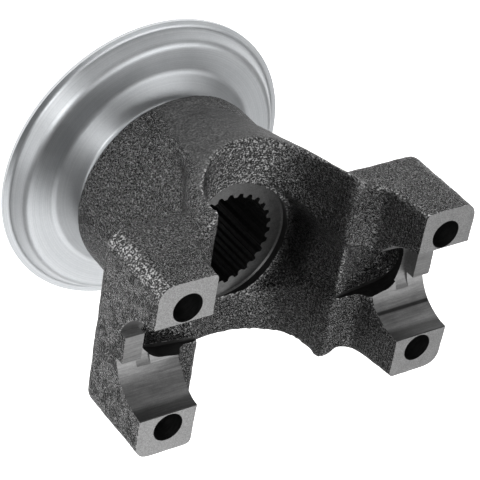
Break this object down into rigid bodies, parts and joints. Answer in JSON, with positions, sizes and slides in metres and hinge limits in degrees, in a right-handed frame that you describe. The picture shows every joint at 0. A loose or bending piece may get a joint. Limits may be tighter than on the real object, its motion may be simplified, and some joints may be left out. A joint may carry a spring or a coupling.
{
  "type": "pinion yoke",
  "caption": "Cast end yoke for a drive shaft's universal joint, with two open bearing ears, an internally splined hub and a pressed-on dust shield.",
  "frame": {"origin": "centre of the hub's end face", "axes": "+Z along the spline axis from the hub's end face to the bearing pads; +X along the bearing axis; +Y across the ears; all four pads lie at the height of the bearing axis"},
  "size_m": [0.092, 0.0838, 0.09],
  "materials": {
    "casting": "as cast, dark and grainy, with the pads, seats, bores and spline machined bright",
    "stamping": "bright zinc plate with fine circular lines"
  },
  "bodies": {
    "root": {"yoke": "casting", "dust_shield": "stamping"}
  },
  "joints": []
}
